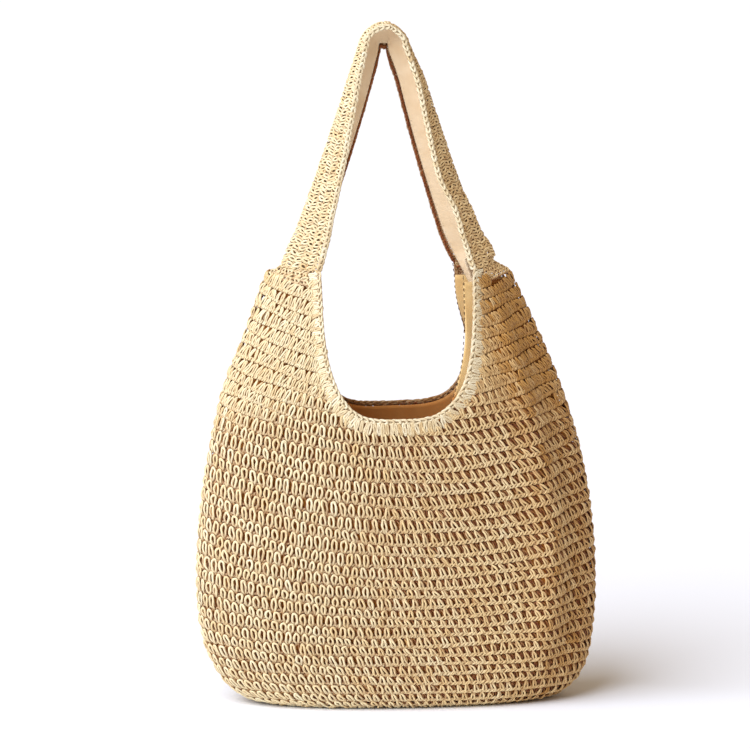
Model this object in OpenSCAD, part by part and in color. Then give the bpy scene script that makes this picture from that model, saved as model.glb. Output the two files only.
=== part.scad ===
// Crocheted straw hobo bag: an oval-based crochet body with a U neckline, a cotton lining with a
// slip pocket, and one folded shoulder strap that swings over the shoulders of the body.
// Millimetres. Origin at the bottom centre, +Z up, the front face towards -Y.

/* [Body] */
// Half width of the body at its widest round
body_half_w = 195; // [185:1:205]
// Half depth of the body at its widest round
body_half_d = 65; // [60:1:70]
// Height of the widest round above the base
widest_z = 128; // [115:1:140]
// Half width of the flat oval base
base_half_w = 125; // [110:1:135]
// Half depth of the flat oval base
base_half_d = 38; // [34:1:42]
// Half width of the body at the shoulder tips
shoulder_half_w = 116; // [112:1:122]
// Half depth that the body would have at the shoulder tips if the mouth were closed
shoulder_half_d = 43; // [40:1:44]
// Sideways slump of the shoulders and the strap
slump = -10; // [-14:1:0]

/* [Neckline] */
// Height of the lowest point of the crochet at the neckline
neck_z = 279; // [270:1:288]
// Half width of the neckline at the shoulders
neck_half_w = 75; // [72:1:78]

/* [Thicknesses] */
// Thickness of the crocheted fabric
crochet_t = 5; // [4:0.5:6]
// Thickness of the cotton
cotton_t = 1.2; // [1:0.1:1.5]
// Clear space between the crochet and the cotton
layer_gap = 1; // [0.8:0.1:1.2]
// Radius of the crocheted edging along the mouth and the strap
edging_r = 2.8; // [2.4:0.1:3]
// Radius of the sewing thread
thread_r = 0.5; // [0.4:0.1:0.6]

/* [Strap] */
// Height of the top of the strap
strap_top_z = 658; // [640:1:680]
// Half width across the strap's outer folds where it leaves the shoulders
strap_root_half_w = 100; // [96:1:104]
// Radius of the bend at the top of the strap
strap_bend_r = 28; // [27:1:32]
// Reach of each flap from the fold at the shoulders
strap_root_reach = 28; // [24:1:30]
// Reach of the front flap from the fold at the top
strap_top_reach_front = 6; // [5:1:9]
// Reach of the back flap from the fold at the top
strap_top_reach_back = 19; // [15:1:20]
// Half depth of the folded strap at the shoulders
strap_root_half_d = 28; // [24:1:29]
// Half depth of the folded strap at the top
strap_top_half_d = 13; // [11:1:16]

/* [Swing] */
// Height of the line that the strap swings about
swing_z = 365; // [363:1:367]
// Clear space between the shoulders and the strap's root
swing_gap = 0.6; // [0.5:0.1:0.8]

/* [Slip pocket] */
// Half width of the pocket at its hem
pocket_half_w = 72; // [60:1:80]
// Height of the bottom seam of the pocket
pocket_z = 112; // [105:1:125]
// Height of the pocket from its bottom seam to its hem
pocket_h = 112; // [95:1:120]
// How far the pocket stands off the lining at its hem
pocket_bulge = 11; // [9:0.5:13]

/* [Hidden] */

straw = [0.80, 0.69, 0.52];
bright_straw = [0.86, 0.78, 0.64];
cotton = [0.89, 0.81, 0.68];
thread = [0.56, 0.43, 0.27];

front = -1;
back = 1;
shoulder_z = 425;                 // tips of the shoulders
corner_power = 2.6;               // roundness of the turn from the base into the wall
taper_power = 1.9;                // how the width falls from the widest round to the shoulders
depth_power = 1.5;                // how the depth falls over the same height
neck_side_power = 3.8;            // how upright the sides of the U are
neck_floor_power = 2.4;           // how flat the floor of the U is
low_roundness = 2.2;              // superellipse exponent of the cross-section at the widest round
top_roundness = 1.5;              // the same at the shoulders, where the side is a fold
swing_r = shoulder_z - swing_z;   // radius of the shoulders about the swing line
edge_gap = 0.5;                   // clear space between the edging and the crochet it finishes
lining_off = crochet_t + layer_gap;
pocket_off = lining_off + cotton_t + 0.4;
wall_columns = 88;
wall_rows = 20;
strap_columns = 14;
strand_rows = 16;
bend_rows = 9;

// ---- small helpers ----
function mix(a, b, s) = a + (b - a) * s;
function smooth(s) = let (c = min(1, max(0, s))) c * c * (3 - 2 * c);
function unit(v) = v / norm(v);
function sgn_pow(v, p) = sign(v) * pow(abs(v), p);

// ---- shape of the body ----
function rise(z) = (z - widest_z) / (shoulder_z - widest_z);
function turn(z) = pow(1 - pow((widest_z - max(0, z)) / widest_z, corner_power), 1 / corner_power);
function half_w(z) = z < widest_z
    ? mix(base_half_w, body_half_w, turn(z))
    : mix(body_half_w, shoulder_half_w, pow(rise(z), taper_power));
function half_d(z) = z < widest_z
    ? mix(base_half_d, body_half_d, turn(z))
    : mix(body_half_d, shoulder_half_d, pow(rise(z), depth_power));
function roundness(z) = mix(low_roundness, top_roundness, min(1, max(0, rise(z))));
function slump_at(z) = slump * smooth((z - 150) / (shoulder_z - 150));
function steepness(z) = let (d = 0.5) (half_w(z + d) - half_w(z)) / d;

// A point of the body, t degrees round from the right side fold, off mm inside the outer face.
function shell(t, z, off) =
    let (
        lean = z < widest_z ? steepness(z) : 0,
        across = off / sqrt(1 + lean * lean),
        n = roundness(z)
    )
    [
        slump_at(z) + (half_w(z) - across) * sgn_pow(cos(t), 2 / n),
        (half_d(z) - across) * sgn_pow(sin(t), 2 / n),
        z + across * lean
    ];

// The same point, found from its distance x from the middle instead of from an angle.
function shell_at_x(x, z, face, off) =
    let (n = roundness(z), w = half_w(z) - off)
    [
        slump_at(z) + x,
        face * (half_d(z) - off) * pow(1 - pow(min(1, abs(x) / w), n), 1 / n),
        z
    ];

// ---- neckline and shoulders ----
function neck_w(h) = neck_half_w * pow(1 - pow(1 - h, neck_floor_power), 1 / neck_side_power);
function is_cloth(t, z, limit_r) =
    let (
        p = shell(t, z, 0),
        h = min(1, (z - neck_z) / (shoulder_z - neck_z)),
        beside_mouth = z < neck_z || abs(p[0] - slump_at(z)) > neck_w(h),
        below_strap = z < swing_z || norm([p[1], z - swing_z]) < limit_r
    )
    beside_mouth && below_strap;
function top_of(t, low, high, limit_r, steps) =
    steps == 0 ? low
    : let (mid = (low + high) / 2)
      is_cloth(t, mid, limit_r) ? top_of(t, mid, high, limit_r, steps - 1)
                                : top_of(t, low, mid, limit_r, steps - 1);
function column_top(t, limit_r) = top_of(t, neck_z - 1, shoulder_z, limit_r, 18);

// ---- meshes ----
// Closes two grids of the same size, one behind the other, into a solid.
module slab(outer, inner, ring) {
    rows = len(outer);
    columns = len(outer[0]);
    last = ring ? columns - 1 : columns - 2;
    count = rows * columns;
    function at(row, column, side) = side * count + row * columns + column % columns;
    points = concat([for (row = outer) each row], [for (row = inner) each row]);
    skins = [
        for (r = [0 : rows - 2], c = [0 : last]) each [
            [at(r, c, 0), at(r + 1, c, 0), at(r + 1, c + 1, 0)],
            [at(r, c, 0), at(r + 1, c + 1, 0), at(r, c + 1, 0)],
            [at(r, c, 1), at(r + 1, c + 1, 1), at(r + 1, c, 1)],
            [at(r, c, 1), at(r, c + 1, 1), at(r + 1, c + 1, 1)]
        ]
    ];
    ends = [
        for (c = [0 : last]) each [
            [at(0, c, 0), at(0, c + 1, 0), at(0, c + 1, 1)],
            [at(0, c, 0), at(0, c + 1, 1), at(0, c, 1)],
            [at(rows - 1, c, 0), at(rows - 1, c + 1, 1), at(rows - 1, c + 1, 0)],
            [at(rows - 1, c, 0), at(rows - 1, c, 1), at(rows - 1, c + 1, 1)]
        ]
    ];
    sides = ring ? [] : [
        for (r = [0 : rows - 2]) each [
            [at(r, 0, 0), at(r, 0, 1), at(r + 1, 0, 1)],
            [at(r, 0, 0), at(r + 1, 0, 1), at(r + 1, 0, 0)],
            [at(r, columns - 1, 0), at(r + 1, columns - 1, 1), at(r, columns - 1, 1)],
            [at(r, columns - 1, 0), at(r + 1, columns - 1, 0), at(r + 1, columns - 1, 1)]
        ]
    ];
    polyhedron(points = points, faces = concat(skins, ends, sides), convexity = 10);
}

// A bar of radius r along stations of [centre, side direction, up direction].
module bar(stations, r, sides) {
    count = len(stations);
    rings = [
        for (s = stations, k = [0 : sides - 1])
            s[0] + r * cos(360 * k / sides) * s[1] + r * sin(360 * k / sides) * s[2]
    ];
    skin = [
        for (i = [0 : count - 2], k = [0 : sides - 1])
            let (a = i * sides + k, b = i * sides + (k + 1) % sides)
            each [[a, b, b + sides], [a, b + sides, a + sides]]
    ];
    caps = [
        [for (k = [0 : sides - 1]) sides - 1 - k],
        [for (k = [0 : sides - 1]) (count - 1) * sides + k]
    ];
    polyhedron(points = rings, faces = concat(skin, caps), convexity = 10);
}

// Rows of a shell between two angles, from the base to the neckline and the shoulders.
function wall_grid(from, to, columns, off, limit_r, drop) = [
    for (row = [0 : wall_rows]) [
        for (c = [0 : columns - 1])
            let (
                t = mix(from, to, c / (to - from == 360 ? columns : columns - 1)),
                top = column_top(t, limit_r) - drop
            )
            shell(t, top * pow(row / wall_rows, 1.5), off)
    ]
];

module oval_plate(half_width, half_depth, z, thickness) {
    translate([0, 0, z]) linear_extrude(thickness) polygon([
        for (k = [0 : wall_columns - 1])
            let (t = 360 * k / wall_columns, p = 2 / low_roundness)
            [half_width * sgn_pow(cos(t), p), half_depth * sgn_pow(sin(t), p)]
    ]);
}

// ---- neckline path, from the left shoulder round the U to the right shoulder ----
rim_reach = 0.92;                 // share of the neckline's height that the edging climbs
rim_steps = 30;
function rim_height(s) = rim_reach * pow(abs(s), 2.2);
function rim_point(s, face, off) =
    let (h = rim_height(s), z = mix(neck_z, shoulder_z, h))
    shell_at_x(sign(s) * neck_w(h) * (1 - off / half_w(z)), z, face, off);

// Stations beside the neckline: depth is the distance inside the outer face, and
// lift the distance from the cut edge into the mouth.
function rim_stations(face, depth, lift) = [
    for (k = [-rim_steps : rim_steps])
        let (
            s = k / rim_steps,
            here = rim_point(s, face, depth),
            along = unit(rim_point(min(1, s + 0.02), face, depth) - rim_point(max(-1, s - 0.02), face, depth)),
            out = unit(rim_point(s, face, 0) - rim_point(s, face, crochet_t)),
            up = unit(cross(along, out)) * face,
            side = unit(cross(along, up))
        )
        [here + lift * up, side, up]
];

// ---- shape of the strap ----
// Everything below is for the right strand; the left one is its mirror image.
bend_z = strap_top_z - strap_bend_r;
strand_lean = 18.3;               // lean of the strands at the bend, from upright
strand_top = [strap_bend_r * cos(strand_lean), bend_z + strap_bend_r * sin(strand_lean)];
fold_angle = 46.8;                // share of the section's superellipse that one flap covers
section_p = 2 / top_roundness;
function flap_in(q) = (1 - pow(cos(q * fold_angle), section_p)) / (1 - pow(cos(fold_angle), section_p));
function flap_out(q) = pow(sin(q * fold_angle), section_p) / pow(sin(fold_angle), section_p);

// Row u runs from 0 at the shoulder through 1 at the end of the strand to 2 at the top.
function row_angle(u) = u < 1 ? strand_lean * u : mix(strand_lean, 90, u - 1);
function fold_of(u) = u < 1
    ? let (z = mix(shoulder_z, strand_top[1], u))
      [
          mix(strap_root_half_w, strand_top[0], u) - 10 * u * (1 - u),
          z
      ]
    : [strap_bend_r * cos(row_angle(u)), bend_z + strap_bend_r * sin(row_angle(u))];
function row_reach(u, q) =
    mix(strap_root_reach, q < 0 ? strap_top_reach_front : strap_top_reach_back, smooth(u / 1.2));
function row_depth(u) = mix(strap_root_half_d, strap_top_half_d, smooth((u - 0.15) / 0.9));

// q runs from -1 at the front edge through 0 at the fold to 1 at the back edge; off is the
// distance inside the outer face and more the distance beyond the edges.
function strap_at(u, q, off, more, hand) =
    let (
        fold = fold_of(u),
        a = row_angle(u),
        reach = off + (row_reach(u, q) - off + more) * flap_in(abs(q)),
        y = sign(q) * (row_depth(u) - off) * flap_out(abs(q)),
        flat = [fold[0] - reach * cos(a), y, fold[1] - reach * sin(a)],
        start_z = swing_z + sqrt(pow(swing_r + swing_gap / 2, 2) - y * y),
        root = 1 - smooth(u / 0.35),
        z = flat[2] + root * (start_z - shoulder_z)
    )
    [slump + hand * flat[0], flat[1], z];
function strap_u(k) = k <= strand_rows ? k / strand_rows : 1 + (k - strand_rows) / bend_rows;
half_rows = strand_rows + bend_rows;
// Row number k runs from the left shoulder, -half_rows, to the right one, half_rows.
function strap_point(k, q, off, more = 0) =
    strap_at(strap_u(half_rows - abs(k)), q, off, more, k < 0 ? -1 : 1);
function strap_grid(off, share) = [
    for (k = [-half_rows : half_rows]) [
        for (c = [0 : strap_columns]) strap_point(k, share * (1 - 2 * c / strap_columns), off)
    ]
];

// Stations along line q of the strap, lift mm beyond it and depth mm inside the outer face.
edge_start = 0.3;                 // share of the first row that the edging leaves clear
edge_rows = concat(
    [edge_start - half_rows],
    [for (k = [1 - half_rows : half_rows - 1]) k],
    [half_rows - edge_start]
);
function edge_stations(q, depth, lift) = [
    for (k = edge_rows)
        let (
            here = strap_point(k, q, depth),
            next = strap_point(min(half_rows, k + 1), q, depth),
            last = strap_point(max(-half_rows, k - 1), q, depth),
            along = unit(next - last),
            inward = unit(strap_point(k, q, depth, 1) - here),
            side = unit(cross(along, inward)),
            up = unit(cross(side, along))
        )
        [here + lift * up, side, up]
];

// ---- sub-parts of the bag ----
module crochet_base() {
    color(straw) oval_plate(base_half_w - 0.3, base_half_d - 0.3, 0, crochet_t);
}

module crochet_body() {
    limit = swing_r - swing_gap / 2;
    color(straw) slab(
        wall_grid(0, 360, wall_columns, 0, limit, 0),
        wall_grid(0, 360, wall_columns, crochet_t, limit, 0),
        true
    );
}

module rim_edging(face) {
    color(bright_straw) bar(rim_stations(face, crochet_t / 2, edging_r + edge_gap), edging_r, 8);
}

module lining_panel(from) {
    seam = 0.4;
    columns = wall_columns / 2;
    limit = swing_r - swing_gap / 2 - 1;
    color(cotton) slab(
        wall_grid(from + seam, from + 180 - seam, columns, lining_off, limit, 1),
        wall_grid(from + seam, from + 180 - seam, columns, lining_off + cotton_t, limit, 1),
        false
    );
}

module lining_base() {
    color(cotton) oval_plate(base_half_w - 0.4, base_half_d - 0.4, lining_off, cotton_t);
}

// The pocket lies on the back lining along its sides and bottom and stands off it at the hem.
function pocket_point(s, h, off) =
    let (
        stand_off = pocket_bulge * (1 - pow(abs(s), 4)) * smooth(h * 1.6),
        p = shell_at_x(s * pocket_half_w, pocket_z + h * pocket_h, back, pocket_off)
    )
    [p[0], p[1] - stand_off - off, p[2]];
function pocket_grid(off) = [
    for (r = [0 : 10]) [for (c = [0 : 16]) pocket_point(1 - c / 8, r / 10, off)]
];

module slip_pocket() {
    color(cotton) slab(pocket_grid(0), pocket_grid(cotton_t), false);
}

module pocket_hem() {
    hem_r = 1.4;
    hem_lift = 1.7;
    stations = [
        for (k = [0 : 16])
            let (
                s = 1 - k / 8,
                along = unit(pocket_point(s - 0.05, 1, 0) - pocket_point(s + 0.05, 1, 0)),
                up = [0, 0, 1],
                side = unit(cross(along, up))
            )
            [pocket_point(s, 1, hem_r) + hem_lift * up, side, up]
    ];
    color(cotton) bar(stations, hem_r, 6);
}

module rim_thread() {
    thread_depth = lining_off + cotton_t + thread_r + 0.6;
    for (face = [front, back])
        color(thread) bar(rim_stations(face, thread_depth, -4), thread_r, 4);
}

// ---- sub-parts of the strap ----
module strap_crochet() {
    color(straw) slab(strap_grid(0, 1), strap_grid(crochet_t, 1), false);
}

module strap_lining() {
    share = 0.93;
    color(cotton) slab(
        strap_grid(lining_off, share),
        strap_grid(lining_off + cotton_t, share),
        false
    );
}

module strap_edging(face) {
    color(bright_straw) bar(edge_stations(face, crochet_t / 2, edging_r + edge_gap), edging_r, 8);
}

module strap_thread() {
    thread_depth = lining_off + cotton_t + thread_r + 1.4;
    share = 0.7;
    for (face = [front, back])
        color(thread) bar(edge_stations(face * share, thread_depth, 0), thread_r, 4);
}

crochet_base();
crochet_body();
rim_edging(front);  // rim_edging_front
rim_edging(back);  // rim_edging_back
lining_panel(180);  // lining_front
lining_panel(0);  // lining_back
lining_base();
slip_pocket();
pocket_hem();
rim_thread();
strap_crochet();
strap_lining();
strap_edging(front);  // strap_edging_front
strap_edging(back);  // strap_edging_back
strap_thread();
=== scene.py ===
"""Looks of the crocheted straw hobo bag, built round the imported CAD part.

Every yarn, hem and stitch is real geometry laid on the same surfaces that the CAD solids follow,
and then moved a little, as a soft bag settles.
Lengths are metres. The bag's front faces -Y and its strap stands along +Z.
"""

import math

import bpy
import numpy as np
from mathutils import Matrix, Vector


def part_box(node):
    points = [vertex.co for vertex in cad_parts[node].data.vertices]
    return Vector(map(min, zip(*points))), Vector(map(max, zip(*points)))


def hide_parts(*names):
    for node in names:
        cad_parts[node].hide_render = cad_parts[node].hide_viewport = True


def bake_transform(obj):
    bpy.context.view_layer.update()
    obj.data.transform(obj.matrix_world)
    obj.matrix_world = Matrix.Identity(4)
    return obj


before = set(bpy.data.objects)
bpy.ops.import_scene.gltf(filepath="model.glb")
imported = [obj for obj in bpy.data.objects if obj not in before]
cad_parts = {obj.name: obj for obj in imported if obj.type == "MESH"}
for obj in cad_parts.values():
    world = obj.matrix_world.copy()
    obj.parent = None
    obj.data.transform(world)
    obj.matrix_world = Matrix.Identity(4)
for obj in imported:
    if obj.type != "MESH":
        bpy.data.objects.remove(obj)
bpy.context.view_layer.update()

MM = 0.001
rng = np.random.default_rng(11)

# ---- sizes that the CAD part sets ----
body_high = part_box("crochet_body")[1]
base_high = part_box("crochet_base")[1]
BODY_W = body_high.x
BODY_D = body_high.y
BASE_W = base_high.x + 0.3 * MM
BASE_D = base_high.y + 0.3 * MM
CROCHET_T = base_high.z
STRAP_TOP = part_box("strap_crochet")[1].z
POCKET_LOW, POCKET_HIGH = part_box("slip_pocket")

# ---- shape rules shared with the CAD part ----
WIDEST_Z = 128 * MM
SHOULDER_Z = 425 * MM
SHOULDER_W = 116 * MM
SHOULDER_D = 43 * MM
SLUMP = -10 * MM
NECK_Z = 279 * MM
NECK_W = 75 * MM
SWING_Z = 365 * MM
SWING_R = 60 * MM
CORNER_POWER = 2.6
TAPER_POWER = 1.9
DEPTH_POWER = 1.5
NECK_SIDE_POWER = 3.8
NECK_FLOOR_POWER = 2.4
LOW_ROUNDNESS = 2.2
TOP_ROUNDNESS = 1.5
COTTON_T = 1.2 * MM
LINING_OFF = CROCHET_T + 1 * MM
POCKET_HALF_W = 72 * MM

STRAP_ROOT_W = 100 * MM
BEND_R = 28 * MM
ROOT_REACH = 28 * MM
TOP_REACH_FRONT = 6 * MM
TOP_REACH_BACK = 19 * MM
ROOT_DEPTH = 28 * MM
TOP_DEPTH = 13 * MM
STRAND_LEAN = math.radians(18.3)
FOLD_ANGLE = math.radians(46.8)
BEND_Z = STRAP_TOP - BEND_R
STRAND_TOP_X = BEND_R * math.cos(STRAND_LEAN)
STRAND_TOP_Z = BEND_Z + BEND_R * math.sin(STRAND_LEAN)

# ---- how the soft bag sits ----
BASE_TURN = math.radians(-4)
BASE_SLIDE = 6 * MM
BACK_PULL = 19 * MM
RIGHT_PULL = 8 * MM
LEFT_PULL = 4 * MM
# The lining stops here, just below the ends of the strap.
LINING_TOP = 408 * MM
# How far the rounds sag at the middle of each face, and slope down towards the bag's right.
ROUND_SAG = 28 * MM
ROUND_SLOPE = 9 * MM

# ---- crochet gauge ----
ROUND_H = 11.9 * MM
STITCH_W = 8.4 * MM
YARN_R = 1.22 * MM
STRAP_ROW_H = 6.4 * MM
STRAP_STITCH_W = 5.6 * MM
PLY_PITCH = 5.5 * MM
PLY_DEPTH = 0.17
MID = CROCHET_T / 2
WALL_BANDS = (0, 6, 11, 16, 21, 26, 32)
BASE_ROUNDS = 4
STRAP_ROWS = 6


# ---- small helpers ----
def mix(a, b, s):
    return a + (b - a) * s


def smooth(s):
    c = np.clip(s, 0, 1)
    return c * c * (3 - 2 * c)


def signed_power(v, p):
    return np.sign(v) * np.abs(v) ** p


def unit(v):
    return v / np.maximum(np.linalg.norm(v, axis=-1, keepdims=True), 1e-12)


def hill(x, centre, width):
    return np.exp(-(((x - centre) / width) ** 2))


def noise(count, spread):
    return spread * rng.standard_normal(count)


def distance_along(line):
    steps = np.linalg.norm(np.diff(line, axis=0), axis=-1)
    return np.concatenate([[0], np.cumsum(steps)])


def lookup(s, gone, line):
    """Points of a polyline at the distances s along it."""
    return np.stack([np.interp(s, gone, line[:, i]) for i in range(3)], axis=-1)


# ---- the bag's wall ----
def rise(z):
    return np.clip((z - WIDEST_Z) / (SHOULDER_Z - WIDEST_Z), 0, 1.1)


def turn(z):
    low = np.clip((WIDEST_Z - np.maximum(z, 0)) / WIDEST_Z, 0, 1)
    return (1 - low**CORNER_POWER) ** (1 / CORNER_POWER)


def half_w(z):
    above = mix(BODY_W, SHOULDER_W, rise(z) ** TAPER_POWER)
    return np.where(z < WIDEST_Z, mix(BASE_W, BODY_W, turn(z)), above)


def half_d(z):
    above = mix(BODY_D, SHOULDER_D, rise(z) ** DEPTH_POWER)
    return np.where(z < WIDEST_Z, mix(BASE_D, BODY_D, turn(z)), above)


def roundness(z):
    return mix(LOW_ROUNDNESS, TOP_ROUNDNESS, np.clip(rise(z), 0, 1))


def slump_at(z):
    return SLUMP * smooth((z - 150 * MM) / (SHOULDER_Z - 150 * MM))


def cad_wall(t, z, off):
    """The CAD wall: t radians round from the right fold, off inside the outer face."""
    step = 0.5 * MM
    lean = np.where(z < WIDEST_Z, (half_w(z + step) - half_w(z)) / step, 0)
    across = off / np.sqrt(1 + lean * lean)
    p = 2 / roundness(z)
    x = slump_at(z) + (half_w(z) - across) * signed_power(np.cos(t), p)
    y = (half_d(z) - across) * signed_power(np.sin(t), p)
    return np.stack([x, y, z + across * lean], axis=-1)


def cad_wall_at_x(x, z, face, off):
    """The CAD wall at x from its middle, on the front (face -1) or the back (face 1)."""
    n = roundness(z)
    w = half_w(z) - off
    y = face * (half_d(z) - off) * (1 - np.clip(np.abs(x) / w, 0, 1) ** n) ** (1 / n)
    return np.stack([slump_at(z) + x, y, z + 0 * y], axis=-1)


def dent(t, z):
    """How far the soft wall stands out from the CAD wall."""
    across = signed_power(np.cos(t), 2 / roundness(z))
    front = smooth(-np.sin(t) * 4)
    crease = 7.5 * MM * hill(across, 0.735, 0.085) * front
    hollow = -5.0 * MM * hill(across, 0.89, 0.08) * front
    wave = 0.9 * MM * np.sin(3.1 * t + 9 * z) * np.sin(21 * z + 1.3 * np.cos(2 * t))
    folded = smooth((z - 20 * MM) / (60 * MM)) * (1 - smooth((z - 330 * MM) / (80 * MM)))
    return folded * (crease + hollow) + smooth(z / (60 * MM)) * wave


def wall(t, z, off):
    """The soft wall and its outward direction."""
    here = cad_wall(t, z, off)
    round_it = cad_wall(t + 0.02, z, off) - cad_wall(t - 0.02, z, off)
    up_it = cad_wall(t, z + MM, off) - cad_wall(t, np.maximum(z - MM, 0), off)
    out = unit(np.cross(round_it, up_it))
    return here + out * dent(t, z)[..., None], out


def between(v, low, high, fade):
    """1 where v lies between low and high, falling to 0 over the distance fade outside them."""
    return smooth((v - low + fade) / fade) * (1 - smooth((v - high) / fade))


def turned_base(x, y, z):
    """The base, turned and slid a little on the floor, and the bag's left side drawn in."""
    angle = BASE_TURN * (1 - smooth(z / (170 * MM)))
    new_x = x * np.cos(angle) - y * np.sin(angle)
    new_y = x * np.sin(angle) + y * np.cos(angle)
    new_x = new_x + BASE_SLIDE * (1 - smooth(z / (80 * MM)))
    left = smooth((-60 * MM - x) / (70 * MM)) * (z < 423 * MM)
    drawn_in = 2 * MM + 5 * MM * hill(z, 365 * MM, 40 * MM)
    return new_x + left * drawn_in * smooth(z / (80 * MM)), new_y


def neckline_pull(x, y, z, straw):
    """How far the neckline is pulled to the right. At the front right the straw is drawn back from
    the edge of the cotton."""
    back = smooth(y / (35 * MM)) * smooth((x + 20 * MM) / (70 * MM)) * (1 - smooth((x - 60 * MM) / (90 * MM)))
    low_back = BACK_PULL * (1 - smooth((z - 320 * MM) / (80 * MM)))
    pull = back * low_back * smooth((z - 150 * MM) / (130 * MM))
    right = smooth((x - 5 * MM) / (20 * MM))
    if not straw:
        right = right * smooth((z - 425 * MM) / (15 * MM))
    beside = np.where(z < 430 * MM, between(x, 65 * MM, 70 * MM, 45 * MM) * straw, right)
    front = smooth(-y / (12 * MM))
    pull = pull + RIGHT_PULL * front * beside * between(z, 315 * MM, 470 * MM, 45 * MM)
    left = between(x, -90 * MM, -70 * MM, 20 * MM) * hill(z, 415 * MM, 50 * MM)
    return pull + LEFT_PULL * front * left


def strap_pinch(x, y, z):
    """How far the strap is moved sideways and up: its back edge is drawn towards the middle, and
    its top leans to the left and sinks."""
    side = np.clip((x - SLUMP) / (12 * MM), -1, 1)
    top = smooth((z - 590 * MM) / (60 * MM))
    sideways = -5.5 * MM * side * smooth(y / (10 * MM)) * between(z, 450 * MM, 700 * MM, 60 * MM)
    sideways = sideways - 5 * MM * top * smooth(side)
    pinch = smooth(y / (12 * MM)) * smooth((z - 612 * MM) / (20 * MM)) * hill(x, SLUMP, 8 * MM)
    return sideways, -(9 * MM * pinch + 2.5 * MM * top)


def settle(points, straw):
    """How the soft bag sits, as the difference from the upright CAD shape."""
    x, y, z = points[:, 0], points[:, 1], points[:, 2]
    new_x, new_y = turned_base(x, y, z)
    sideways, upwards = strap_pinch(x, y, z)
    new_x = new_x + neckline_pull(x, y, z, straw) + sideways
    return np.stack([new_x, new_y, z + upwards], axis=-1)


# ---- rounds of the wall: where each one runs ----
def round_heights():
    """Heights of the rounds' lower edges, one stitch height apart along the wall."""
    z = np.linspace(0, SHOULDER_Z + 2 * ROUND_H, 4000)
    profile = (half_w(z) + half_d(z)) / 2
    length = np.concatenate([[0], np.cumsum(np.hypot(np.diff(z), np.diff(profile)))])
    return np.interp(np.arange(0, length[-1], ROUND_H), length, z)


ROUND_Z = round_heights()


def level_height(level, t):
    """Height of a level, counted in rounds, which sags at the middle of each face and a little
    towards the bag's right."""
    z = np.interp(level, np.arange(len(ROUND_Z)), ROUND_Z)
    sag = (ROUND_SAG * np.sin(t) ** 2 + ROUND_SLOPE * np.cos(t)) * smooth(z / (200 * MM))
    uneven = 1.1 * MM * np.sin(7 * t + 1.9 * level) * smooth(z / (60 * MM))
    return z - sag + uneven


def neck_w(h):
    return NECK_W * (1 - (1 - np.clip(h, 0, 1)) ** NECK_FLOOR_POWER) ** (1 / NECK_SIDE_POWER)


def is_cloth(points, margin):
    """Is each point of the wall below the shoulders and at least margin from the neckline?"""
    x = np.abs(points[..., 0] - slump_at(points[..., 2]))
    z = points[..., 2] + margin
    beside = x > neck_w((z - NECK_Z) / (SHOULDER_Z - NECK_Z)) + margin
    from_hinge = np.hypot(points[..., 1], points[..., 2] - SWING_Z)
    below = (points[..., 2] < SWING_Z) | (from_hinge < SWING_R - 3 * MM)
    return ((z < NECK_Z) | beside) & below


# ---- the strap ----
def flap_in(q):
    p = 2 / TOP_ROUNDNESS
    return (1 - np.cos(q * FOLD_ANGLE) ** p) / (1 - math.cos(FOLD_ANGLE) ** p)


def flap_out(q):
    p = 2 / TOP_ROUNDNESS
    return np.sin(q * FOLD_ANGLE) ** p / math.sin(FOLD_ANGLE) ** p


def strap_at(u, q, off):
    """The strap's surface. u runs from 0 at the left shoulder through 2 at the top to 4 at the
    right shoulder, and q from -1 at the front edge through 0 at the fold to 1 at the back edge."""
    hand = np.where(u < 2, -1.0, 1.0)
    w = np.where(u < 2, u, 4 - u)
    lean = np.where(w < 1, STRAND_LEAN * w, mix(STRAND_LEAN, math.pi / 2, w - 1))
    strand_x = mix(STRAP_ROOT_W, STRAND_TOP_X, w) - 10 * MM * w * (1 - w)
    shoulder = mix(3, 8, hand > 0) * MM * hill(w, 0.05, 0.07) * (1 - np.abs(q))
    fold_x = np.where(w < 1, strand_x + shoulder, BEND_R * np.cos(lean))
    fold_z = np.where(w < 1, mix(SHOULDER_Z, STRAND_TOP_Z, w), BEND_Z + BEND_R * np.sin(lean))
    top_reach = np.where(q < 0, TOP_REACH_FRONT, TOP_REACH_BACK)
    full = mix(ROOT_REACH, top_reach, smooth(w / 1.2))
    depth = mix(ROOT_DEPTH, TOP_DEPTH, smooth((w - 0.15) / 0.9))
    reach = off + (full - off) * flap_in(np.abs(q))
    y = np.sign(q) * (depth - off) * flap_out(np.abs(q))
    x = fold_x - reach * np.cos(lean)
    z = fold_z - reach * np.sin(lean)
    start = SWING_Z + np.sqrt(np.maximum(SWING_R**2 - y * y, 0))
    z = z + (1 - smooth(w / 0.35)) * (start - SHOULDER_Z)
    return np.stack([SLUMP + hand * x, y, z], axis=-1)


def strap_face(u, q, off):
    """A point of the strap's surface and its outward direction."""
    along = strap_at(np.minimum(u + 0.02, 4), q, off) - strap_at(np.maximum(u - 0.02, 0), q, off)
    across = strap_at(u, np.clip(q + 0.04, -1, 1), off) - strap_at(u, np.clip(q - 0.04, -1, 1), off)
    return strap_at(u, q, off), unit(np.cross(along, across))


# ---- meshes ----
def new_object(name, points, quads, straw):
    """A smooth mesh object from arrays of points and quads."""
    mesh = bpy.data.meshes.new(name)
    mesh.vertices.add(len(points))
    mesh.vertices.foreach_set("co", settle(points, straw).astype(np.float32).ravel())
    mesh.loops.add(quads.size)
    mesh.loops.foreach_set("vertex_index", quads.astype(np.int32).ravel())
    mesh.polygons.add(len(quads))
    mesh.polygons.foreach_set("loop_start", np.arange(0, quads.size, 4, dtype=np.int32))
    mesh.update(calc_edges=True)
    mesh.polygons.foreach_set("use_smooth", np.ones(len(quads), bool))
    obj = bpy.data.objects.new(name, mesh)
    bpy.context.scene.collection.objects.link(obj)
    return obj


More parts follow.
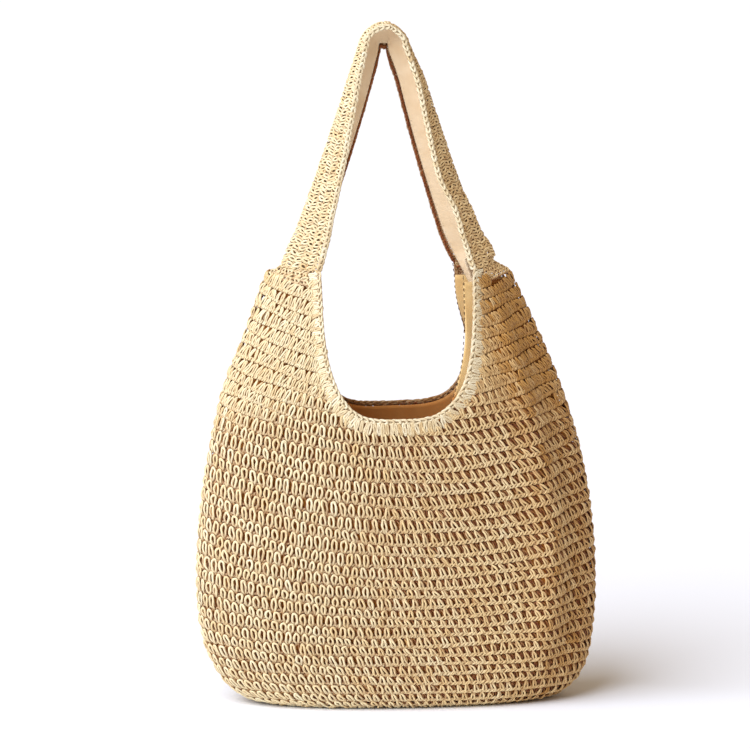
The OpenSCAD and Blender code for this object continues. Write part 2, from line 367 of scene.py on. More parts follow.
class Yarn:
    """Collects lengths of yarn and makes one mesh object of them."""

    def __init__(self):
        self.points = []
        self.quads = []
        self.point_values = {"tone": [], "depth_shade": []}
        self.along = []
        self.cell = []
        self.count = 0
        self.lengths = 0

    def add(self, paths, outs, depth, radius, tone, closed=False, sides=8, flat=0.8):
        """Tubes along paths (lengths x stations x 3). outs points away from the cloth, depth is
        each station's distance out from the middle of the cloth, and radius is one or one each."""
        count, stations = paths.shape[:2]
        if closed:
            along = unit(np.roll(paths, -1, 1) - np.roll(paths, 1, 1))
        else:
            along = unit(np.gradient(paths, axis=1))
        side = unit(np.cross(along, outs))
        out = np.cross(side, along)
        angle = np.arange(sides) * 2 * math.pi / sides
        ring = side[:, :, None] * np.cos(angle)[:, None] + flat * out[:, :, None] * np.sin(angle)[:, None]
        step = np.linalg.norm(np.diff(paths, axis=1), axis=-1).mean(1)[:, None, None]
        twist = 2 * math.pi * step * np.arange(stations)[:, None] / PLY_PITCH
        ply = np.cos(2 * angle - twist - 2 * math.pi * rng.random((count, 1, 1)))
        radii = np.reshape(radius, (-1, 1, 1, 1))
        points = paths[:, :, None] + radii * (1 + PLY_DEPTH * ply)[..., None] * ring
        index = self.count + np.arange(count * stations * sides).reshape(count, stations, sides)
        last = stations if closed else stations - 1
        ahead = np.roll(index, -1, 1)[:, :last]
        here = index[:, :last]
        quads = np.stack([here, np.roll(here, -1, 2), np.roll(ahead, -1, 2), ahead], axis=-1)
        # Painted shade: the yarn is darker on its side towards the cloth, in the grooves between its plies,
        # and where it lies back in the cloth.
        underside_shade = 0.5 * (0.5 - 0.5 * np.sin(angle)) + 0.3 * (0.5 - 0.5 * ply)
        depth_shade = underside_shade + 0.6 * np.clip((0.9 * MM - depth) / (2.2 * MM), 0, 1)[..., None]
        self.points.append(points.reshape(-1, 3))
        self.quads.append(quads.reshape(-1, 4))
        self.point_values["tone"].append(np.repeat(tone, stations * sides))
        self.point_values["depth_shade"].append(depth_shade.reshape(-1))
        self.lay_out(paths, quads.shape[:3])
        self.count += index.size

    def lay_out(self, paths, shape):
        """Two sets of texture coordinates for each corner of each quad: metres along the yarn
        and turns round it, and the place of each length's own strip."""
        count, last, sides = shape
        station = np.arange(last)[None, :, None, None] + np.array([0, 0, 1, 1])
        turn_of = (np.arange(sides)[None, None, :, None] + np.array([0, 1, 1, 0])) / sides
        step = np.linalg.norm(np.diff(paths, axis=1), axis=-1).mean(1)[:, None, None, None]
        start = rng.random(count)[:, None, None, None]
        full = np.broadcast_to(station * step + start, shape + (4,))
        across = np.broadcast_to(turn_of, shape + (4,))
        self.along.append(np.stack([full, across], axis=-1).reshape(-1, 2))
        number = self.lengths + np.arange(count)[:, None, None, None]
        share = np.broadcast_to(station / last + 0 * number, shape + (4,))
        number = np.broadcast_to(number, shape + (4,))
        self.cell.append(np.stack([number, share, across], axis=-1).reshape(-1, 3))
        self.lengths += count

    def build(self, name, straw=True):
        obj = new_object(name, np.concatenate(self.points), np.concatenate(self.quads), straw)
        mesh = obj.data
        for label, parts in self.point_values.items():
            values = np.concatenate(parts).astype(np.float32)
            mesh.attributes.new(label, "FLOAT", "POINT").data.foreach_set("value", values)
        along = np.concatenate(self.along).astype(np.float32)
        mesh.uv_layers.new(name="along").data.foreach_set("uv", along.ravel())
        cell = np.concatenate(self.cell)
        columns = math.ceil(math.sqrt(self.lengths / 2))
        rows = math.ceil(self.lengths / columns)
        u = (cell[:, 0] % columns + 0.05 + 0.9 * cell[:, 1]) / columns
        v = (cell[:, 0] // columns + 0.1 + 0.8 * cell[:, 2]) / rows
        baked = np.stack([u, v], axis=-1).astype(np.float32)
        mesh.uv_layers.new(name="OFBake").data.foreach_set("uv", baked.ravel())
        return obj


def cloth(name, points, thickness=COTTON_T * 0.75):
    """A sheet of cotton on a grid of points, given its real thickness."""
    rows, columns = points.shape[:2]
    index = np.arange(rows * columns).reshape(rows, columns)
    quads = np.stack([index[:-1, :-1], index[:-1, 1:], index[1:, 1:], index[1:, :-1]], axis=-1)
    obj = new_object(name, points.reshape(-1, 3), quads.reshape(-1, 4), straw=False)
    solid = obj.modifiers.new("thickness", "SOLIDIFY")
    solid.thickness = thickness
    solid.offset = 0
    with bpy.context.temp_override(object=obj, active_object=obj, selected_objects=[obj]):
        bpy.ops.object.modifier_apply(modifier=solid.name)
    mark_painted_shade(obj.data, rows * columns)
    return obj


def mark_painted_shade(mesh, count):
    """Marks where a thick sheet of cotton is free of painted shade: on its inner face, less so low down
    in the bag, and at the front right, where the straw leaves its outer face uncovered. The rest is
    painted darker as shade."""
    co = np.empty(len(mesh.vertices) * 3)
    mesh.vertices.foreach_get("co", co)
    one, two = co.reshape(-1, 3)[:count], co.reshape(-1, 3)[count : 2 * count]
    nearer = np.hypot(one[:, 0], one[:, 1]).mean() < np.hypot(two[:, 0], two[:, 1]).mean()
    inside = np.repeat([float(nearer), 1.0 - float(nearer)], count)
    x, y, z = co.reshape(-1, 3).T
    uncovered = between(x, 55 * MM, 80 * MM, 10 * MM) * smooth((z - 285 * MM) / (20 * MM)) * (y < 0)
    inside = np.maximum(inside * mix(0.35, 1, smooth((z - 278 * MM) / (35 * MM))), uncovered)
    values = inside.astype(np.float32)
    mesh.attributes.new("inside", "FLOAT", "POINT").data.foreach_set("value", values)


# ---- crochet stitches ----
# A stitch lies in its own cell: across 0 is its middle and 1 is one stitch width, up 0 to 1 spans
# its round, and out is the distance from the middle of the cloth.
LOOP_STATIONS = 20
LINK_STATIONS = 12
STRAW_TONE = 0.6
TONE_SPREAD = 0.08
LINK_SHARE = 0.95


def loop_shape(width, lean, taper, tall, twist, foot_in, head_in):
    """A closed ring of yarn for each stitch, with its foot and its head tucked in by so many mm."""
    angle = np.linspace(0, 2 * math.pi, LOOP_STATIONS, endpoint=False)
    up = 0.45 - 0.44 * np.cos(angle) * tall[:, None]
    across = width[:, None] * np.sin(angle) * (1 + taper[:, None] * np.cos(angle))
    across = across + lean[:, None] * (up - 0.45) + wobble(angle, len(width), 0.025)
    up = up + wobble(angle, len(width), 0.02)
    foot = hill(angle, 0, 0.9) + hill(angle, 2 * math.pi, 0.9)
    head = hill(angle, math.pi, 0.9)
    out = 0.8 - foot_in[:, None] * foot - head_in[:, None] * head + twist[:, None] * np.sin(angle)
    return across, up, out * MM


def wobble(angle, count, size):
    """Small smooth unevenness round a ring, different for each stitch."""
    turns = rng.random((2, count, 1)) * 2 * math.pi
    return size * (np.sin(2 * angle + turns[0]) + 0.7 * np.sin(3 * angle + turns[1]))


def link_shape(phase, front, turns, skew):
    """One pitch of a strand twisted along the join between two rounds, from behind the stitches'
    feet (front 0) to in front of them (front 1)."""
    s = np.linspace(-0.1, 1.1, LINK_STATIONS)
    angle = 2 * math.pi * s * turns[:, None] + phase + skew[:, None]
    across = np.broadcast_to(s - 0.5, angle.shape)
    up = 0.09 + (0.06 + 0.09 * front[:, None]) * np.sin(angle)
    out = 1.7 * front[:, None] - 1.5 + 0.65 * np.cos(angle)
    return across, up, out * MM


def add_row(yarn, place, spots, pitch, loops, front, thick, keep=None, painted_light=0.0, turns=1.0):
    """One row of stitches. place turns distance along, share up and distance out into points."""
    count = len(spots)
    # The tone is shifted lighter or darker by the painted light and shade passed in.
    tone = np.clip(STRAW_TONE + noise(count, TONE_SPREAD) + painted_light, 0, 1)
    radius = YARN_R * thick
    if keep is None:
        keep = np.ones(count, bool)
    strands = [(loops, 1.0)]
    for phase in (0, math.pi):
        strands.append((link_shape(phase, front, turns + 0 * front, noise(count, 0.5)), LINK_SHARE))
    for (across, up, out), share in strands:
        points, outs = place(spots[:, None] + across * pitch, up, out)
        yarn.add(points[keep], outs[keep], out[keep], share * radius[keep], tone[keep], closed=share == 1.0)


def right_share(t):
    """0 on the left of the front, where the stitches stand up, to 1 on the right, where they lean."""
    front = smooth((np.cos(t) + 0.55) / 1.0)
    return np.where(np.sin(t) < 0, front, 0.55)


def tightness(t, z):
    """0 where the stitches are open to 1 near the shoulders, where they close up."""
    return smooth((z - mix(300, 245, np.abs(np.cos(t))) * MM) / (70 * MM))


def wall_loops(t, z, count):
    """Each stitch's ring of yarn, how far forward its links lie, and how thick its yarn is."""
    right = right_share(t)
    tight = tightness(t, z)
    width = mix(mix(0.27, 0.17, right), 0.125, tight) + noise(count, 0.022)
    lean = mix(mix(-0.08, 0.38, tight), -0.62, right) + noise(count, 0.12) * (1 + tight)
    taper = mix(-0.22, 0.5, right) * (1 - tight) + noise(count, 0.1)
    tall = mix(1.1, mix(1.0, 0.9, right), tight) + noise(count, 0.05)
    head_in = mix(mix(-0.3, 1.7, right), 0, tight)
    front = mix(mix(0.1, 0.95, right), 0.9, tight)
    thick = mix(mix(1.0, 0.82, right), 0.82, tight)
    foot_in = np.full(count, 1.3)
    return loop_shape(width, lean, taper, tall, noise(count, 0.35), foot_in, head_in), front, thick


def painted_side_light(t, z):
    """Painted light and shade: how much lighter the straw is made on the left of the bag, which faces the
    lamp, and darker on the right and high up, where it is in shade.
    """
    right = right_share(t)
    fold = smooth((np.cos(t) - 0.5) / 0.3)
    return 0.15 - 0.22 * right - 0.33 * fold - 0.2 * right * smooth((z - 270 * MM) / (60 * MM))


def crochet_round(yarn, number):
    """One round of stitches of the wall, cut by the neckline and the shoulders."""
    t_of = np.linspace(-math.pi / 2, 1.5 * math.pi, 1441)
    line = wall(t_of, level_height(number + 0.5, t_of), MID)[0]
    gone = distance_along(line)
    count = int(round(gone[-1] / STITCH_W))
    pitch = gone[-1] / count
    spots = (np.arange(count) + 0.35 * number + noise(count, 0.04)) * pitch % gone[-1]
    middle = np.interp(spots, gone, t_of)

    def place(s, up, out):
        t = np.interp(s % gone[-1], gone, t_of)
        here, outward = wall(t, level_height(number + up, t), MID)
        ridge = 0.9 * MM * np.sin(math.pi * np.clip(up, 0, 1)) - 0.8 * MM
        return here + outward * (out + ridge)[..., None], outward

    height = level_height(number + 0.95, middle)
    keep = is_cloth(wall(middle, height, MID)[0], -1 * MM)
    # Painted light and shade on the straw: lighter to the left, darker to the right and high up.
    shaded = painted_side_light(middle, height)
    close = tightness(middle, height)
    turns = np.where(close > 0.5, 2.0, 1.0)
    add_row(yarn, place, spots, pitch, *wall_loops(middle, height, count), keep, shaded, turns)

    # A second ring between every two stitches, behind them where they are open.
    (across, up, out), _, thick = wall_loops(middle, height, count)
    out = out - 1.8 * MM * (1 - close[:, None])
    points, outs = place(spots[:, None] + (across + 0.5) * pitch, up, out)
    # Painted shade: where the stitches are open, the ring behind them is made darker.
    tone = np.clip(STRAW_TONE + noise(count, TONE_SPREAD) + shaded - 0.4 * (1 - close), 0, 1)
    yarn.add(points[keep], outs[keep], out[keep], 0.9 * YARN_R * thick[keep], tone[keep], closed=True)


def crochet_wall():
    """The wall's rounds, in bands, each a piece of its own."""
    edges = [*WALL_BANDS, len(ROUND_Z) - 2]
    pieces = []
    for number, (first, last) in enumerate(zip(edges, edges[1:]), 1):
        yarn = Yarn()
        for k in range(first, last):
            crochet_round(yarn, k)
        pieces.append(yarn.build(f"crochet_wall_{number}"))
    return pieces


def plain_loops(count, thick, width=0.3, lean=0.0):
    """Upright stitches that are all alike but for a little noise."""
    loops = loop_shape(
        width + noise(count, 0.02),
        lean + noise(count, 0.1),
        noise(count, 0.1),
        1 + noise(count, 0.05),
        noise(count, 0.3),
        np.full(count, 0.9),
        np.full(count, -0.2),
    )
    return loops, np.full(count, 0.6), np.full(count, thick)


def oval(t, width, depth):
    p = 2 / LOW_ROUNDNESS
    return np.stack([width * signed_power(np.cos(t), p), depth * signed_power(np.sin(t), p)], axis=-1)


def crochet_bottom():
    """Oval rounds of the base, from its middle line to its rim."""
    yarn = Yarn()
    step = BASE_D / BASE_ROUNDS
    t_of = np.linspace(0, 2 * math.pi, 721)
    for k in range(BASE_ROUNDS):
        depth = step * (k + 0.5)
        width = BASE_W - BASE_D + depth
        line = oval(t_of, width, depth)
        gone = distance_along(line)
        count = int(round(gone[-1] / STITCH_W))
        pitch = gone[-1] / count

        def place(s, up, out):
            t = np.interp(s % gone[-1], gone, t_of)
            grow = (up - 0.5) * step
            flat = oval(t, width + grow, depth + grow)
            z = np.maximum(MID - out, YARN_R * 0.85)
            down = np.broadcast_to([0.0, 0.0, -1.0], z.shape + (3,))
            return np.concatenate([flat, z[..., None]], axis=-1), down

        add_row(yarn, place, (np.arange(count) + 0.5 * k) * pitch, pitch, *plain_loops(count, 1.1))
    return yarn.build("crochet_bottom")


# ---- rows along the strap ----
class StrapRows:
    """Rows that run along the strap, at even distances from one of its edges."""

    def __init__(self, face):
        self.u = np.linspace(0, 4, 481)
        q = np.linspace(face, 0, 61)
        self.depth = np.arange(0, 60, 0.5) * MM
        grid = strap_at(self.u[:, None] + 0 * q, q + 0 * self.u[:, None], MID)
        steps = np.linalg.norm(np.diff(grid, axis=1), axis=-1)
        away = np.concatenate([np.zeros((len(self.u), 1)), np.cumsum(steps, axis=1)], axis=1)
        self.flap = away[:, -1]
        self.q = np.stack([np.interp(self.depth, row, q) for row in away])
        half = len(q) // 2
        self.gone = distance_along(grid[:, half])

    def place(self, number):
        def put(s, up, out):
            u = np.interp(s, self.gone, self.u)
            row = u / 4 * (len(self.u) - 1)
            column = np.clip((number + up) * STRAP_ROW_H, 0, None) / (0.5 * MM)
            column = np.clip(column, 0, len(self.depth) - 1.01)
            r = np.clip(row.astype(int), 0, len(self.u) - 2)
            c = column.astype(int)
            a = mix(self.q[r, c], self.q[r, c + 1], column - c)
            b = mix(self.q[r + 1, c], self.q[r + 1, c + 1], column - c)
            here, outward = strap_face(u, mix(a, b, row - r), MID)
            return here + outward * out[..., None], outward

        return put

    def fits(self, spots, number):
        u = np.interp(spots, self.gone, self.u)
        return np.interp(u, self.u, self.flap) > (number + 0.1) * STRAP_ROW_H


def crochet_strap():
    yarn = Yarn()
    for face in (-1, 1):
        rows = StrapRows(face)
        count = int(rows.gone[-1] / STRAP_STITCH_W)
        pitch = rows.gone[-1] / count
        for number in range(STRAP_ROWS):
            spots = (np.arange(count) + 0.5 + noise(count, 0.05)) * pitch
            keep = rows.fits(spots, number)
            loops = plain_loops(count, 0.88, 0.3, 0.35 * (-1) ** number)
            # Painted shade: the strap's right strand, turned away from the lamp, is made darker.
            shaded = 0.15 - 0.35 * smooth((np.interp(spots, rows.gone, rows.u) - 1.9) / 0.3)
            add_row(yarn, rows.place(number), spots, pitch, *loops, keep, painted_light=shaded)
    return yarn.build("crochet_strap")


# ---- borders along the neckline and the strap's edges ----
def rim_line(face, off, samples=801):
    """The cut edge of the neckline from the left shoulder round the U to the right one."""
    s = np.linspace(-1, 1, samples)
    h = 0.97 * np.abs(s) ** 2.2
    z = mix(NECK_Z, SHOULDER_Z, h)
    x = np.sign(s) * neck_w(h) * (1 - off / half_w(z))
    return cad_wall_at_x(x, z, face, off)


def strap_edge(face, off, samples=801):
    u = np.linspace(0.01, 3.99, samples)
    return strap_at(u, np.full_like(u, float(face)), off)


class EdgePlace:
    """Places points by distance along a cut edge, distance beyond it and distance out."""

    def __init__(self, line, inner, face):
        along = unit(np.gradient(line, axis=0))
        out = unit(line - inner)
        self.line = line
        self.out = unit(out - along * (out * along).sum(-1, keepdims=True))
        self.beyond = np.cross(along, self.out) * face
        self.gone = distance_along(line)

    def put(self, s, beyond, out):
        base = lookup(s, self.gone, self.line)
        away = unit(lookup(s, self.gone, self.beyond))
        outward = unit(lookup(s, self.gone, self.out))
        return base + away * beyond[..., None] + outward * out[..., None], outward


def add_chain(yarn, edge, centre, wide, pitch, fade=0.0):
    """A braid of links along a cut edge, its tone lowered by fade as painted shade."""
    count = int(edge.gone[-1] / pitch)
    spots = (np.arange(count) + 0.5) * edge.gone[-1] / count
    angle = np.linspace(0, 2 * math.pi, 14, endpoint=False)
    s = spots[:, None] + 0.85 * pitch * np.cos(angle)
    beyond = centre + wide * np.sin(angle) * (1.15 + 0.35 * np.cos(angle)) + noise((count, 1), 0.12 * MM)
    out = np.broadcast_to(0.8 * MM + 1.3 * MM * np.cos(angle), (count, 14))
    points, outs = edge.put(s, beyond, out)
    tone = np.clip(0.75 + noise(count, 0.15) - fade, 0, 1)
    yarn.add(points, outs, out + 0.8 * MM, YARN_R, tone, closed=True)


def add_strokes(yarn, edge, top, bottom):
    """A dense row of upright strokes just inside a cut edge."""
    pitch = 3.9 * MM
    count = int(edge.gone[-1] / pitch)
    spots = (np.arange(count) + 0.5) * edge.gone[-1] / count + noise(count, 0.35 * MM)
    angle = np.linspace(0, 2 * math.pi, 14, endpoint=False)
    half = (top - bottom) / 2
    wide = 1.05 * MM + noise((count, 1), 0.15 * MM)
    lean = 0.6 * MM + noise((count, 1), 0.9 * MM)
    s = spots[:, None] + wide * np.sin(angle) + lean * np.cos(angle)
    reach = half * (1 + noise((count, 1), 0.09))
    beyond = top - half - reach * np.cos(angle)
    ends = hill(angle, 0, 0.6) + hill(angle, 2 * math.pi, 0.6)
    out = np.broadcast_to(2.2 * MM - 0.9 * MM * ends, s.shape)
    points, outs = edge.put(s, beyond, out)
    tone = np.clip(0.7 + noise(count, 0.2), 0, 1)
    yarn.add(points, outs, out + 0.3 * MM, YARN_R * 0.9, tone, closed=True)


def rim_border(name, face):
    yarn = Yarn()
    edge = EdgePlace(rim_line(face, MID), rim_line(face, MID + 2 * MM), face)
    add_strokes(yarn, edge, 0.8 * MM, -11 * MM)
    if face < 0:
        add_chain(yarn, edge, 1.8 * MM, 1.5 * MM, 6.2 * MM)
    else:
        # Painted shade: the back rim's chain, inside the bag, is made darker.
        add_chain(yarn, edge, 0.4 * MM, 1.1 * MM, 6.2 * MM, fade=0.55)
    return yarn.build(name)


def strap_border(name, face):
    yarn = Yarn()
    edge = EdgePlace(strap_edge(face, MID), strap_edge(face, MID + 2 * MM), face)
    add_chain(yarn, edge, 1.0 * MM, 1.3 * MM, 5.4 * MM)
    return yarn.build(name)


# ---- shoulder caps: the ledges where the strap grows out of the body ----
def shoulder_caps():
    yarn = Yarn()
    rows = 4
    for hand, u_root in ((-1, 0.015), (1, 3.985)):
        q = np.linspace(-1, 1, 201)
        inner = strap_at(np.full_like(q, u_root), q * 0.98, MID) - np.array([0, 0, 4 * MM])
        z = SWING_Z + np.sqrt((SWING_R - 10 * MM) ** 2 - inner[:, 1] ** 2)
        n = roundness(z)
        x = (half_w(z) - MID) * (1 - (np.abs(inner[:, 1]) / (half_d(z) - MID)) ** n) ** (1 / n)
        outer = np.stack([slump_at(z) + hand * x, inner[:, 1], z], axis=-1)
        gone = distance_along(outer)
        count = int(gone[-1] / (7.0 * MM))
        pitch = gone[-1] / count
        for row in range(rows):

            def place(s, up, out):
                low = lookup(s, gone, outer)
                high = lookup(s, gone, inner)
                outward = unit(unit(high - low) * 0.2 + np.array([hand * 0.6, 0, 0.8]))
                share = (row + up[..., None]) / rows
                return mix(low, high, share) + outward * out[..., None], outward

            spots = (np.arange(count) + 0.5 * (row + 1) + noise(count, 0.04)) * pitch
            loops = plain_loops(count, 0.9, 0.26, 0.35 * (-1) ** row)
            # Painted light and shade: the left cap is made lighter and the right one darker.
            add_row(yarn, place, spots, pitch, *loops, painted_light=-0.05 - 0.15 * hand)
    return yarn.build("shoulder_caps")


# ---- cotton ----
def lining_panel(name, start):
    """One panel of the lining, from its seam at one side of the bag to the other."""
    t = np.linspace(start + 0.01, start + math.pi - 0.01, 181)
    low = np.full_like(t, NECK_Z - 10 * MM)
    high = np.full_like(t, SHOULDER_Z)
    for _ in range(24):
        middle = (low + high) / 2
        inside = is_cloth(cad_wall(t, middle, 0), 1 * MM) & (middle < LINING_TOP)
        low = np.where(inside, middle, low)
        high = np.where(inside, high, middle)
    share = np.linspace(0, 1, 100)[:, None] ** 1.2
    z = low[None] * share
    fold = 1.2 * MM * (1 + np.sin(23 * np.cos(t[None]) + 14 * z)) * smooth((z - 220 * MM) / (120 * MM))
    ripple = 0.8 * MM * (1 + np.sin(7 * t[None] + 30 * z)) * smooth(z / (60 * MM))
    points = wall(np.broadcast_to(t, z.shape), z, LINING_OFF + 0.8 * MM + ripple + fold)[0]
    return cloth(name, points)


def lining_bottom():
    t = np.linspace(0, 2 * math.pi, 97)
    share = np.linspace(0.02, 1, 12)[:, None]
    flat = oval(t + 0 * share, (BASE_W - 0.5 * MM) * share, (BASE_D - 0.5 * MM) * share)
    height = np.full(flat.shape[:2] + (1,), LINING_OFF + 0.6 * MM)
    return cloth("lining_bottom", np.concatenate([flat, height], axis=-1))


def strap_facing():
    """The cotton on the inside of the strap, pinched a little at each stitch of its edges."""
    u = np.linspace(-0.16, 4.16, 661)[:, None]
    q = np.linspace(-0.93, 0.93, 41)[None]
    pinch = 0.5 * MM * np.abs(np.sin(u * 110)) * smooth((np.abs(q) - 0.75) / 0.15)
    ends = 4.5 * MM * (1 - smooth((2.04 - np.abs(u - 2)) / 0.12))
    points = strap_at(u + 0 * q, q + 0 * u, LINING_OFF + 0.4 * MM + ends - pinch)
    return cloth("strap_facing", points)


def pocket_points(s, h):
    """The slip pocket: s -1 to 1 across, h 0 to 1 from its bottom seam to its hem."""
    stand = 10 * MM * (1 - np.abs(s) ** 4) * smooth(h * 1.6)
    z = mix(POCKET_LOW.z, POCKET_HIGH.z, h)
    here = cad_wall_at_x(s * POCKET_HALF_W, z, 1, LINING_OFF + COTTON_T + 1.2 * MM)
    here[..., 1] -= stand
    return here


def slip_pocket():
    s = np.linspace(-1, 1, 61)[None]
    h = np.linspace(0, 1, 45)[:, None]
    return cloth("slip_pocket", pocket_points(s, h))


def pocket_hem():
    """The pocket's top edge, rolled over to the outside."""
    s = np.linspace(-1, 1, 61)[None]
    angle = np.linspace(0, 2 * math.pi, 13)[:, None]
    points = pocket_points(s, np.ones_like(s + angle))
    points[..., 1] += 1.3 * MM * np.cos(angle)
    points[..., 2] += 1.3 * MM * np.sin(angle)
    return cloth("pocket_hem", points, 0.5 * MM)


def seam_thread(name, paths):
    """Running stitches: short lengths of thread along each path."""
    yarn = Yarn()
    pitch = 5.6 * MM
    half_stitch = 1.4 * MM
    share = np.linspace(-1, 1, 6)
    height = (0.35 - 0.5 * share**2) * MM
    for line, inner in paths:
        gone = distance_along(line)
        count = int(gone[-1] / pitch)
        spots = (np.arange(count) + 0.5) * gone[-1] / count
        s = spots[:, None] + half_stitch * share
        points = lookup(s, gone, line)
        outs = unit(lookup(s, gone, inner) - points)
        points = points + outs * height[:, None]
        yarn.add(points, outs, np.zeros(s.shape), 0.45 * MM, np.full(count, 0.5), sides=5)
    return yarn.build(name, straw=False)


# ---- materials ----
def new_material(name):
    material = bpy.data.materials.new(name)
    material.use_nodes = True
    nodes = material.node_tree.nodes
    return material, nodes, material.node_tree.links, nodes["Principled BSDF"]


def add_ramp(nodes, links, source, stops):
    ramp = nodes.new("ShaderNodeValToRGB")
    elements = ramp.color_ramp.elements
    while len(elements) < len(stops):
        elements.new(0.5)
    for element, (position, colour) in zip(elements, stops):
        element.position = position
        element.color = (*colour, 1)
    links.new(source, ramp.inputs["Fac"])
    return ramp.outputs["Color"]


def add_mix(nodes, links, factor, a, b, blend="MIX"):
    node = nodes.new("ShaderNodeMix")
    node.data_type = "RGBA"
    node.blend_type = blend
    if isinstance(factor, float):
        node.inputs["Factor"].default_value = factor
    else:
        links.new(factor, node.inputs["Factor"])
    links.new(a, node.inputs["A"])
    links.new(b, node.inputs["B"])
    return node.outputs["Result"]


def add_attribute(nodes, name):
    node = nodes.new("ShaderNodeAttribute")
    node.attribute_name = name
    return node.outputs["Fac"]


def straw_material(name, dark, middle, light, shade):
    """Paper straw yarn: a tone for each stitch, browned by painted shade on its underside and where it lies
    back in the cloth, with creases along it.
    """
    material, nodes, links, shader = new_material(name)
    stitch = add_ramp(nodes, links, add_attribute(nodes, "tone"), [(0.0, dark), (0.5, middle), (1.0, light)])
    # Painted shade: the yarn is browned on its underside, between its plies and where it lies back.
    depths = add_ramp(nodes, links, add_attribute(nodes, "depth_shade"), [(0.2, (1, 1, 1)), (0.9, shade)])
    colour = add_mix(nodes, links, 1.0, stitch, depths, "MULTIPLY")
    along = nodes.new("ShaderNodeUVMap")
    along.uv_map = "along"
    stretch = nodes.new("ShaderNodeMapping")
    stretch.inputs["Scale"].default_value = (160.0, 7.0, 1.0)
    links.new(along.outputs["UV"], stretch.inputs["Vector"])
    fibre = nodes.new("ShaderNodeTexNoise")
    fibre.inputs["Scale"].default_value = 1.0
    fibre.inputs["Detail"].default_value = 4.0
    links.new(stretch.outputs["Vector"], fibre.inputs["Vector"])
    creases = add_ramp(nodes, links, fibre.outputs["Fac"], [(0.3, (0.66, 0.58, 0.48)), (0.6, (1, 1, 1))])
    colour = add_mix(nodes, links, 0.7, colour, creases, "MULTIPLY")
    links.new(colour, shader.inputs["Base Color"])
    ridge = nodes.new("ShaderNodeBump")
    ridge.inputs["Strength"].default_value = 0.5
    ridge.inputs["Distance"].default_value = 0.0006
    links.new(fibre.outputs["Fac"], ridge.inputs["Height"])
    links.new(ridge.outputs["Normal"], shader.inputs["Normal"])
    shader.inputs["Roughness"].default_value = 0.55
    shader.inputs["Specular IOR Level"].default_value = 0.35
    shader.inputs["Sheen Weight"].default_value = 0.1
    return material


def cotton_material(name, dark, light, behind):
    """Plain woven cotton with soft blotches and a fine weave, with painted shade that browns it behind the
    straw and low in the bag."""
    material, nodes, links, shader = new_material(name)
    place = nodes.new("ShaderNodeTexCoord").outputs["Object"]
    blotch = nodes.new("ShaderNodeTexNoise")
    blotch.inputs["Scale"].default_value = 60.0
    links.new(place, blotch.inputs["Vector"])
    colour = add_ramp(nodes, links, blotch.outputs["Fac"], [(0.3, dark), (0.7, light)])
    # Painted shade: the cotton's outer face behind the straw and its lower parts are darkened.
    face = add_ramp(nodes, links, add_attribute(nodes, "inside"), [(0.2, behind), (0.9, (1, 1, 1))])
    colour = add_mix(nodes, links, 1.0, colour, face, "MULTIPLY")
    links.new(colour, shader.inputs["Base Color"])
    weave = nodes.new("ShaderNodeTexWave")
    weave.bands_direction = "DIAGONAL"
    weave.inputs["Scale"].default_value = 500.0
    weave.inputs["Distortion"].default_value = 2.0
    links.new(place, weave.inputs["Vector"])
    grain = nodes.new("ShaderNodeBump")
    grain.inputs["Strength"].default_value = 0.25
    grain.inputs["Distance"].default_value = 0.0003
    links.new(weave.outputs["Fac"], grain.inputs["Height"])
    links.new(grain.outputs["Normal"], shader.inputs["Normal"])
    shader.inputs["Roughness"].default_value = 0.9
    shader.inputs["Sheen Weight"].default_value = 0.2
    return material


def plain_material(name, colour, roughness):
    material, _, _, shader = new_material(name)
    shader.inputs["Base Color"].default_value = (*colour, 1)
    shader.inputs["Roughness"].default_value = roughness
    return material


# ---- studio ----
def aim_at(obj, target):
    away = Vector(obj.location) - Vector(target)
    obj.rotation_mode = "QUATERNION"
    obj.rotation_quaternion = away.to_track_quat("Z", "Y")


def studio():
    half = 14.0
    corners = [(-half, -half, 0), (half, -half, 0), (half, half, 0), (-half, half, 0)]
    mesh = bpy.data.meshes.new("floor")
    mesh.from_pydata(corners, [], [(0, 1, 2, 3)])
    mesh.materials.append(plain_material("floor", (0.93, 0.95, 0.97), 0.95))
    floor = bpy.data.objects.new("floor", mesh)
    bpy.context.scene.collection.objects.link(floor)
    world = bpy.data.worlds.new("studio")
    world.use_nodes = True
    sky = world.node_tree.nodes["Background"]
    sky.inputs["Color"].default_value = (1.0, 0.80, 0.60, 1)
    sky.inputs["Strength"].default_value = 0.40
    bpy.context.scene.world = world
    bpy.context.scene.view_settings.view_transform = "Standard"
    key = bpy.data.lights.new("key", "SUN")
    key.energy = 3.75
    key.color = (0.93, 1.0, 1.16)
    key.angle = math.radians(60)
    lamp = bpy.data.objects.new("key", key)
    lamp.location = (-2.6, -1.6, 2.75)
    aim_at(lamp, (0, 0, 0))
    bpy.context.scene.collection.objects.link(lamp)


def camera():
    azimuth = math.radians(-8)
    elevation = math.radians(10)
    distance = 5.0
    target = Vector((-0.0202, 0.0028, 0.3167))
    back = Vector((
        math.sin(azimuth) * math.cos(elevation),
        -math.cos(azimuth) * math.cos(elevation),
        math.sin(elevation),
    ))
    lens = bpy.data.cameras.new("camera")
    lens.lens = 252.0
    obj = bpy.data.objects.new("camera", lens)
    obj.location = target + distance * back
    aim_at(obj, target)
    bpy.context.scene.collection.objects.link(obj)
    bpy.context.scene.camera = obj


# Dark, middle and light straw, and the painted shade in its depths.
STRAW_COLOURS = (0.52, 0.27, 0.06), (0.88, 0.67, 0.34), (1.0, 0.92, 0.62), (0.30, 0.10, 0.015)
EDGING_COLOURS = (0.68, 0.44, 0.17), (0.82, 0.67, 0.40), (0.96, 0.87, 0.62), (0.34, 0.14, 0.02)
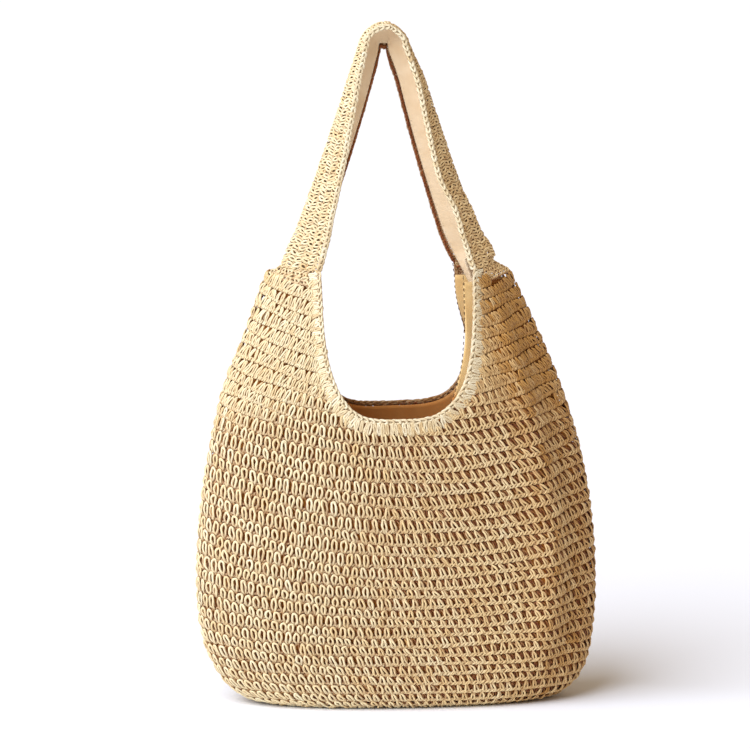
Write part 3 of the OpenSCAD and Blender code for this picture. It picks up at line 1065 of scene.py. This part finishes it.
# Dark and light cotton, and the painted shade that darkens its outer face behind the straw and its lower
# parts.
# The lining is the same cream cotton as the facing, made more golden as painted warm shade inside the bag.
LINING_COLOURS = (0.80, 0.52, 0.20), (0.86, 0.60, 0.26), (0.70, 0.35, 0.06)
FACING_COLOURS = (0.80, 0.60, 0.36), (0.88, 0.70, 0.46), (0.8, 0.8, 0.8)


def finish_piece(obj, material, slot, *nodes):
    obj.data.materials.append(material)
    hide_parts(*nodes)
    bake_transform(obj)


def build_straw():
    """The crocheted wall, shoulders, base and strap."""
    straw = straw_material("straw", *STRAW_COLOURS)
    for piece in crochet_wall():
        finish_piece(piece, straw, "straw", "crochet_body")
    finish_piece(shoulder_caps(), straw, "straw", "crochet_body")
    finish_piece(crochet_bottom(), straw, "straw", "crochet_base")
    finish_piece(crochet_strap(), straw, "straw", "strap_crochet")


def build_face(side, face, start, edging, lining):
    """The borders and the lining panel of the bag's front or back."""
    rim, strap_rim = f"rim_edging_{side}", f"strap_edging_{side}"
    finish_piece(rim_border(rim, face), edging, "straw_edging", rim)
    finish_piece(strap_border(strap_rim, face), edging, "straw_edging", strap_rim)
    panel = lining_panel(f"lining_{side}", start)
    finish_piece(panel, lining, "cotton", f"lining_{side}")


def build_cotton(lining, facing):
    """The bottom of the lining, the pocket with its hem, and the strap's facing."""
    bottom, pocket, hem, inner = lining_bottom(), slip_pocket(), pocket_hem(), strap_facing()
    finish_piece(bottom, lining, "cotton", "lining_base")
    finish_piece(pocket, lining, "cotton", "slip_pocket")
    finish_piece(hem, lining, "cotton", "pocket_hem")
    finish_piece(inner, facing, "cotton", "strap_lining")


def build_threads():
    """The seams of the neckline and of the strap's facing."""
    thread = plain_material("thread", (0.12, 0.06, 0.02), 0.7)
    rims = [(rim_line(face, LINING_OFF + 1.4 * MM), rim_line(face, LINING_OFF + 3 * MM)) for face in (-1, 1)]
    finish_piece(seam_thread("rim_thread", rims), thread, "thread", "rim_thread")
    u = np.linspace(0.1, 3.9, 801)
    edges = [
        (strap_at(u, u * 0 + q, LINING_OFF - 0.2 * MM), strap_at(u, u * 0 + q, LINING_OFF + 1 * MM))
        for q in (-0.88, 0.88)
    ]
    finish_piece(seam_thread("strap_thread", edges), thread, "thread", "strap_thread")


def build_bag():
    build_straw()
    edging = straw_material("edging", *EDGING_COLOURS)
    lining = cotton_material("lining_cotton", *LINING_COLOURS)
    facing = cotton_material("facing_cotton", *FACING_COLOURS)
    build_face("front", -1, math.pi, edging, lining)
    build_face("back", 1, 0.0, edging, lining)
    build_cotton(lining, facing)
    build_threads()


build_bag()
studio()
camera()
